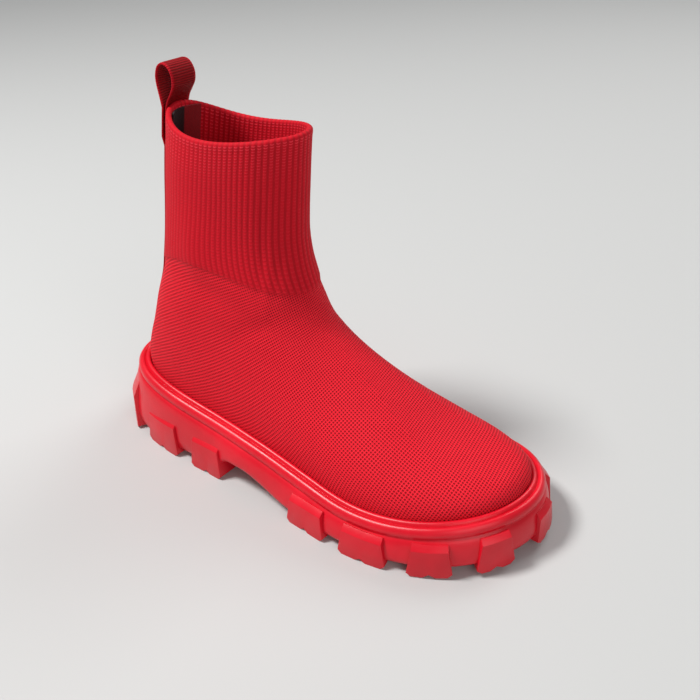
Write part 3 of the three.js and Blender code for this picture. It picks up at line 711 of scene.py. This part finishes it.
# Where the knit gives: soft troughs (depth below 0) and ridges, each by its place in the side view, its
# reach along and up, its lean in degrees and its depth, all in millimetres
CREASES = [
    {"side": "lateral", "x": 92, "z": 158, "reach": 15, "rise": 30, "lean": 12, "depth": -1.7},
    {"side": "lateral", "x": 72, "z": 120, "reach": 26, "rise": 8, "lean": -14, "depth": -1.1},
    {"side": "lateral", "x": 66, "z": 138, "reach": 9, "rise": 24, "lean": 8, "depth": 0.9},
    {"side": "lateral", "x": 118, "z": 128, "reach": 7, "rise": 26, "lean": -8, "depth": 0.8},
    {"side": "lateral", "x": 112, "z": 104, "reach": 22, "rise": 5, "lean": 28, "depth": -0.9},
    {"side": "lateral", "x": 62, "z": 190, "reach": 12, "rise": 16, "lean": 0, "depth": 0.7},
    {"side": "lateral", "x": 121, "z": 165, "reach": 2.6, "rise": 44, "lean": -3.5, "depth": -1.0},
    {"side": "lateral", "x": 113, "z": 160, "reach": 2.4, "rise": 36, "lean": -3.5, "depth": -0.6},
    {"side": "medial", "x": 88, "z": 150, "reach": 16, "rise": 26, "lean": -10, "depth": -1.4},
    {"side": "medial", "x": 104, "z": 112, "reach": 22, "rise": 5, "lean": 24, "depth": -1.0},
    {"side": "medial", "x": 96, "z": 122, "reach": 20, "rise": 4, "lean": 20, "depth": 0.8},
    {"side": "medial", "x": 60, "z": 108, "reach": 18, "rise": 6, "lean": -16, "depth": -0.8},
]


def crease_depth(point, side):
    depth = 0
    for crease in CREASES:
        if crease["side"] != side:
            continue
        lean = math.radians(crease["lean"])
        across, up = point.x - crease["x"], point.z - crease["z"]
        a = (across * math.cos(lean) + up * math.sin(lean)) / crease["reach"]
        b = (up * math.cos(lean) - across * math.sin(lean)) / crease["rise"]
        depth += crease["depth"] * math.exp(-(a * a + b * b))
    return depth


def plain_point(i, j):
    angle = angle_of_column(i / UPPER_COLUMNS)
    point = knit_point(angle, max(levels[j], 0), level_rows[j])
    if levels[j] < 0:
        point.z = lerp(point.z, lip_height(point.x) - CUP_DEPTH + GAP, -levels[j])
    return point


plain = [[plain_point(i, j) for i in range(UPPER_COLUMNS)] for j in range(len(levels))]
run_up = [0.0]
for before, after in zip(plain, plain[1:]):
    run_up.append(run_up[-1] + (after[UPPER_COLUMNS // 4] - before[UPPER_COLUMNS // 4]).length)
cuff_run = run_up[levels.index(CUFF_RING + 0.02)]
outer, inner = [], []
for j, ring in enumerate(plain):
    above, below = plain[min(j + 1, len(plain) - 1)], plain[max(j - 1, 0)]
    in_cuff = smoothstep(levels[j], CUFF_RING - 0.12, CUFF_RING + 0.2)
    from_top = (run_up[-1] - run_up[j]) / RIM_HEIGHT
    rim = math.sin(math.pi * clamp(1 - from_top, 0, 1) * 0.75)
    outer.append([])
    inner.append([])
    for i, point in enumerate(ring):
        run = ring[(i + 1) % UPPER_COLUMNS] - ring[i - 1]
        normal = run.cross(above[i] - below[i]).normalized()
        side = side_of(angle_of_column(i / UPPER_COLUMNS))[0]
        strength = lerp(FAINT_RIB, 1, smoothstep(i / COLUMNS_PER_RIB, *RIBS_CLEAR))
        rib = 0.5 * RIB_DEPTH * strength * math.cos(2 * math.pi * i / COLUMNS_PER_RIB) * in_cuff
        dent = crease_depth(point, side) if levels[j] > 1 else 0
        lift = CUFF_STEP * in_cuff + rib + RIM_PROUD * rim + dent
        outer[j].append(point + normal * lift)
        inner[j].append(point + normal * (dent - WALL + rib * 0.6))

# The skin's rows go up the outside, over the rolled rim and down the inside.
RIM_ARC = [math.pi * k / 6 for k in range(1, 6)]
RIM_RISE = 1.45
skin, skin_levels = list(outer), list(range(len(levels)))
for arc in RIM_ARC:
    skin.append([])
    skin_levels.append(len(levels) - 1)
    for a, b in zip(outer[-1], inner[-1]):
        rolled = (a + b) / 2 + (a - b) / 2 * math.cos(arc)
        skin[-1].append(rolled + Vector((0, 0, RIM_RISE * math.sin(arc))))
for j in [j for j in range(len(levels) - 1, -1, -1) if j % 2 == 0 or j > len(levels) - 4]:
    skin.append(inner[j])
    skin_levels.append(j)
skin.append(outer[0])
skin_levels.append(0)

upper = wrapped_grid(
    "upper_knit", UPPER_COLUMNS, len(skin) - 1,
    lambda u, v: skin[round(v * (len(skin) - 1))][round(u * UPPER_COLUMNS) % UPPER_COLUMNS])

# Two maps: ribs counts the ribs round the cuff and runs up it in millimetres; stitches is the foot
# laid flat, in millimetres, with its rows along the foot.
upper.data.uv_layers[0].name = "ribs"
stitches = upper.data.uv_layers.new(name="stitches")
upper.data.uv_layers.active = stitches
for face in upper.data.polygons:
    face.select = face.index < UPPER_COLUMNS * (len(levels) - 1)
bpy.ops.object.mode_set(mode="EDIT")
bpy.ops.mesh.select_mode(type="FACE")
bpy.ops.uv.unwrap(method="MINIMUM_STRETCH", margin=0.0, iterations=12)
bpy.ops.object.mode_set(mode="OBJECT")
stitches = upper.data.uv_layers["stitches"]
flat = {}
for loop in upper.data.loops:
    row, column = divmod(loop.vertex_index, UPPER_COLUMNS + 1)
    if row < len(levels):
        flat.setdefault((row, column), stitches.data[loop.index].uv.copy())
mid_row, mid_column = levels.index(4), UPPER_COLUMNS // 4
here, there = flat[mid_row, mid_column - 4], flat[mid_row, mid_column + 4]
real = (plain[mid_row][mid_column + 4] - plain[mid_row][mid_column - 4]).length
step = there - here
scale = real / step.length
for key, value in flat.items():
    flat[key] = Vector((value.dot(step), value.y * step.x - value.x * step.y)) * scale / step.length
ribs_map = upper.data.uv_layers["ribs"]
for loop in upper.data.loops:
    row, column = divmod(loop.vertex_index, UPPER_COLUMNS + 1)
    level = skin_levels[row]
    stitches.data[loop.index].uv = flat[level, column]
    ribs_map.data[loop.index].uv = (column / COLUMNS_PER_RIB, run_up[level])
close_seams(upper)
bpy.ops.object.shade_smooth()

knit = Finish("red_knit", 0.74)
rib_count, rib_run = knit.uv("ribs")
flat_x, flat_y = knit.uv("stitches")
place = knit.coordinates()
cuff = rib_run.between(cuff_run - 2.0, cuff_run + 2.5)
rim = rib_run.between(run_up[-1] - RIM_HEIGHT, run_up[-1] - 0.8 * RIM_HEIGHT)
PIT_PITCH, PIT_ROW, PIT_SKEW = 2.4, 1.35, 0.15
STROKE_PITCH, STROKE_LEAN = 1.2, 0.8
COURSE_HEIGHT = 1.7
pit_u = flat_x * (1 / PIT_PITCH) + flat_y * (PIT_SKEW / PIT_PITCH)
pit_v = flat_y * (0.5 / PIT_ROW)
lattice = pit_u.wave() * pit_v.wave()
pits = lattice.between(0.0, 0.75)
threads = (flat_x * (1 / STROKE_PITCH) - flat_y * (STROKE_LEAN / STROKE_PITCH)).wave()
rib_wave = rib_count.wave()
courses = (rib_run * (1 / COURSE_HEIGHT) + rib_wave * 0.12).wave()
grooves = rib_wave.between(0.2, -0.9)
dashes = courses * (1 - grooves)
clouds = knit.noise(place, 26.0, 2.0).between(0.3, 0.7)
fuzz = knit.noise(place, 900.0, 2.0)
# The knit's base red, a darker copy of it that is painted shade, and a lighter copy that is painted
# highlight.
LIT, PAINTED_SHADE_RED, PAINTED_HIGHLIGHT_RED = (0.74, 0.004, 0.017), (0.24, 0.0, 0.003), (0.95, 0.06, 0.09)
# The pits of the pique are painted in the darker red: painted shade in the recesses.
foot_tint = knit.mix(pits, LIT, PAINTED_SHADE_RED)
# Light strokes along the foot's threads are painted highlight.
foot_tint = knit.mix(threads.between(0.2, 1.0) * (1 - pits) * 0.42, foot_tint, PAINTED_HIGHLIGHT_RED)
# The grooves between the cuff's ribs are painted in the darker red, more where the ribs come clear:
# painted shade.
painted_groove_shade = rib_count.between(*RIBS_CLEAR) * 0.32 + 0.2
cuff_tint = knit.mix(grooves * painted_groove_shade, (0.53, 0.002, 0.012), PAINTED_SHADE_RED)
# Light dashes on the cuff, a band of them under the rim, and the rolled rim are painted highlight.
cuff_tint = knit.mix(dashes.between(0.3, 1.0) * 0.10, cuff_tint, PAINTED_HIGHLIGHT_RED)
under_rim_highlight = rib_run.between(run_up[-1] - 26, run_up[-1] - 5)
cuff_tint = knit.mix(under_rim_highlight * dashes.between(0.5, 0.95) * 0.35, cuff_tint, PAINTED_HIGHLIGHT_RED)
cuff_tint = knit.mix(rim * dashes.between(-0.2, 0.8) * 0.35, cuff_tint, PAINTED_HIGHLIGHT_RED)
tint = knit.mix(cuff, foot_tint, cuff_tint)
knit.set("Base Color", knit.mix(clouds * 0.12, tint, (0.56, 0.002, 0.010)))
knit.set("Roughness", fuzz * 0.12 + 0.66)
foot_relief = (1 - pits) + threads * 0.10 * (1 - pits)
cuff_relief = dashes * 0.12 + fuzz * 0.1
knit.relief((foot_relief * (1 - cuff), 0.00042), (cuff_relief * cuff, 0.0004), (fuzz, 0.00008))
knit.surface.inputs["Specular IOR Level"].default_value = 0.18
finish_piece(upper, "upper", knit.material)

# The pull loop is one length of woven webbing. It is sewn down over the back seam, stands up in a loop
# above the collar, and its end is sewn down between the strap and the cuff.
WEBBING_WIDTH, WEBBING_THICKNESS = 16.6, 1.3
LOOP_HEIGHT, LOOP_DEPTH, LOOP_LEAN, LOOP_TWIST = 23.6, 12.4, 0.8, 0.12
STRAP_FOOT, TUCK = 92, 13
WEBBING_COLUMNS = 13
LOOP = [
    {"depth": 0.02, "height": 0.25},
    {"depth": 0.0, "height": 0.5},
    {"depth": 0.05, "height": 0.74},
    {"depth": 0.22, "height": 0.93},
    {"depth": 0.5, "height": 1.0},
    {"depth": 0.8, "height": 0.93},
    {"depth": 0.99, "height": 0.74},
    {"depth": 0.93, "height": 0.52},
    {"depth": 0.66, "height": 0.33},
    {"depth": 0.38, "height": 0.16},
]
cuff_foot = lerp(HEEL_LIP, COLLAR_HEIGHT, along(RINGS, "backRise", CUFF_RING))


def back_face(y, z):
    """Where the knit's outer face passes at a distance from the back seam, found by halving."""
    near = read_profile("backHeight", "back", z)
    far = near + ANKLE / 2
    side = "lateral" if y < 0 else "medial"
    for _ in range(22):
        middle = (near + far) / 2
        if half_width(middle, z, side) < abs(y):
            near = middle
        else:
            far = middle
    return near


def beside_back(y, z, out):
    x = back_face(y, z)
    slope = (back_face(y + 0.2, z) - back_face(y - 0.2, z)) / 0.4
    normal = Vector((-1, slope)).normalized()
    return Vector((x + normal.x * out, y + normal.y * out, z))


def across_strip(width, z, out):
    shares = [i / (WEBBING_COLUMNS - 1) - 0.5 for i in range(WEBBING_COLUMNS)]
    return [beside_back(width * share, z, out) for share in shares]


def webbing(name, rows, width, thickness):
    """A woven strip of even thickness through rows of points, with soft edges and closed ends."""
    faces = [[], []]
    for r, row in enumerate(rows):
        after, before = rows[min(r + 1, len(rows) - 1)], rows[max(r - 1, 0)]
        for face, sign in zip(faces, (-1, 1)):
            face.append([])
            for i, point in enumerate(row):
                run = row[min(i + 1, len(row) - 1)] - row[max(i - 1, 0)]
                normal = run.cross(after[i] - before[i]).normalized()
                edge = 0.45 if i in (0, len(row) - 1) else 1
                face[-1].append(point + normal * (sign * edge * thickness / 2))
    skin = [list(reversed(low)) + high for low, high in zip(*faces)]
    count, run = len(skin[0]), [0.0]
    for before, after in zip(rows, rows[1:]):
        run.append(run[-1] + (after[len(after) // 2] - before[len(before) // 2]).length)
    piece = wrapped_grid(
        name, count, len(rows) - 1,
        lambda u, v: skin[round(v * (len(rows) - 1))][round(u * count) % count])
    half = count // 2
    for loop in piece.data.loops:
        row, column = divmod(loop.vertex_index, count + 1)
        share = (half - 1 - column if column < half else column - half) / (half - 1)
        piece.data.uv_layers[0].data[loop.index].uv = (clamp(share, 0, 1) * width, run[row])
    close_seams(piece)
    bpy.ops.object.mode_set(mode="EDIT")
    bpy.ops.mesh.select_mode(type="EDGE")
    bpy.ops.mesh.select_all(action="DESELECT")
    bpy.ops.mesh.select_non_manifold()
    bpy.ops.mesh.fill_holes(sides=0)
    bpy.ops.mesh.select_all(action="SELECT")
    bpy.ops.mesh.normals_make_consistent(inside=False)
    bpy.ops.object.mode_set(mode="OBJECT")
    bpy.ops.object.shade_smooth_by_angle(angle=math.radians(60))
    return piece


climb = []
on_knit, layer = GAP + WEBBING_THICKNESS / 2, WEBBING_THICKNESS + GAP
for k in range(45):
    z = lerp(STRAP_FOOT, COLLAR_HEIGHT, k / 44)
    lift = (CUFF_STEP + GAP) * smoothstep(z, cuff_foot - 12, cuff_foot + 4)
    lift += layer * smoothstep(z, COLLAR_HEIGHT - TUCK - 10, COLLAR_HEIGHT - TUCK - 3)
    climb.append(across_strip(WEBBING_WIDTH, z, on_knit + lift))
tuck = [across_strip(WEBBING_WIDTH, COLLAR_HEIGHT - TUCK * k / 6, on_knit + CUFF_STEP) for k in range(7)]
middle = WEBBING_COLUMNS // 2
start, end = climb[-1], tuck[0]
hindmost = start[middle].x - LOOP_LEAN
stops = [{"at": 0, "x": start[middle].x, "z": COLLAR_HEIGHT}]
for k, row in enumerate(LOOP):
    stops.append({"at": k + 1, "x": hindmost + row["depth"] * LOOP_DEPTH,
                  "z": COLLAR_HEIGHT + row["height"] * LOOP_HEIGHT})
stops.append({"at": len(LOOP) + 1, "x": end[middle].x, "z": COLLAR_HEIGHT})
loop_rows = []
LOOP_STEPS = 60
for k in range(1, LOOP_STEPS):
    at = k / LOOP_STEPS * (len(LOOP) + 1)
    place_x, place_z = along(stops, "x", at), along(stops, "z", at)
    seam = start if k < LOOP_STEPS / 2 else end
    flatness = smoothstep(place_z - COLLAR_HEIGHT, 0, 0.7 * LOOP_HEIGHT)
    twist = LOOP_TWIST * flatness
    row = []
    for j in range(WEBBING_COLUMNS):
        y = WEBBING_WIDTH * (j / (WEBBING_COLUMNS - 1) - 0.5)
        curled = Vector((place_x, 0, place_z)) + seam[j] - seam[middle]
        turned = Vector((place_x + y * math.sin(twist), y * math.cos(twist), place_z))
        row.append(curled.lerp(turned, flatness))
    loop_rows.append(row)
pull_loop = webbing("pull_loop_webbing", climb + loop_rows + tuck, WEBBING_WIDTH, WEBBING_THICKNESS)

woven = Finish("red_webbing", 0.72)
web_u, web_v = woven.uv("UVMap")
place = woven.coordinates()
cross_ribs = (web_v * (1 / 1.3)).wave()
warp = (web_u * (1 / 0.8)).wave()
edge = web_u.between(1.6, 0.5) + web_u.between(WEBBING_WIDTH - 1.6, WEBBING_WIDTH - 0.5)
fuzz = woven.noise(place, 900.0, 2.0)
# The webbing's reds are darkened to the colour of its shaded inner face: painted shade.
tint = woven.mix(cross_ribs.between(-0.8, 0.4), (0.14, 0.0, 0.001), (0.31, 0.001, 0.005))
tint = woven.mix(warp.between(0.2, 1.0) * 0.25, tint, (0.18, 0.0, 0.002))
# Its two long edges are painted lighter: painted highlight.
woven.set("Base Color", woven.mix(edge * 0.45, tint, (0.75, 0.004, 0.02)))
woven.set("Roughness", fuzz * 0.1 + 0.62)
woven.surface.inputs["Specular IOR Level"].default_value = 0.15
woven.relief((cross_ribs, 0.0001), (warp, 0.00006), (fuzz, 0.00005))
finish_piece(pull_loop, "pull_loop", woven.material)

# A plain tape is sewn inside the back of the collar, over the stitches that hold the webbing. It is
# black, with a dark red part towards the inner side.
TAPE_WIDTH, TAPE_LENGTH, TAPE_THICKNESS, TAPE_DROP = 27, 36, 0.9, 2
BLACK_SHARE = 0.6
tape_out = -(WALL + GAP + TAPE_THICKNESS / 2)
tape_rows = []
for k in range(21):
    z = COLLAR_HEIGHT - TAPE_DROP - TAPE_LENGTH * (1 - k / 20)
    tape_rows.append(across_strip(TAPE_WIDTH, z, tape_out))
tape = webbing("collar_tape_strip", tape_rows, TAPE_WIDTH, TAPE_THICKNESS)
twill = Finish("dark_tape", 0.8)
tape_u, tape_v = twill.uv("UVMap")
lines = ((tape_u + tape_v) * (1 / 0.9)).wave()
black = twill.mix(lines.between(-0.5, 0.6), (0.006, 0.001, 0.002), (0.022, 0.003, 0.005))
lining = twill.mix(lines.between(-0.5, 0.6), (0.20, 0.001, 0.004), (0.28, 0.002, 0.008))
beyond_black = tape_u.between(TAPE_WIDTH * (BLACK_SHARE - 0.02), TAPE_WIDTH * (BLACK_SHARE + 0.04))
twill.set("Base Color", twill.mix(beyond_black, black, lining))
twill.relief((lines, 0.00008))
finish_piece(tape, "collar_tape", twill.material)

# Stage: a plain pale floor and soft studio light, the key from the left as in the photograph.
bpy.ops.mesh.primitive_plane_add(size=6, location=(0, 0, 0))
floor = bpy.context.object
floor.name = "floor"
ground = Finish("pale_floor", 0.85)
ground.set("Base Color", (0.50, 0.50, 0.49, 1))
floor.data.materials.append(ground.material)
LIGHTS = [
    {"name": "key", "place": (-0.85, -0.65, 1.75), "size": 0.45, "power": 44},
    {"name": "fill", "place": (1.3, -0.9, 0.9), "size": 1.2, "power": 9},
    {"name": "back", "place": (0.3, 1.3, 1.3), "size": 1.0, "power": 12},
]
for light in LIGHTS:
    bpy.ops.object.light_add(type="AREA", location=light["place"])
    lamp = bpy.context.object
    lamp.name = light["name"]
    lamp.data.size = light["size"]
    lamp.data.energy = light["power"]
    towards = Vector((0, 0, 0.08)) - lamp.location
    lamp.rotation_euler = towards.to_track_quat("-Z", "Y").to_euler()
world = bpy.context.scene.world or bpy.data.worlds.new("world")
bpy.context.scene.world = world
world.use_nodes = True
world.node_tree.nodes["Background"].inputs["Color"].default_value = (0.9, 0.92, 0.95, 1)
world.node_tree.nodes["Background"].inputs["Strength"].default_value = 0.28
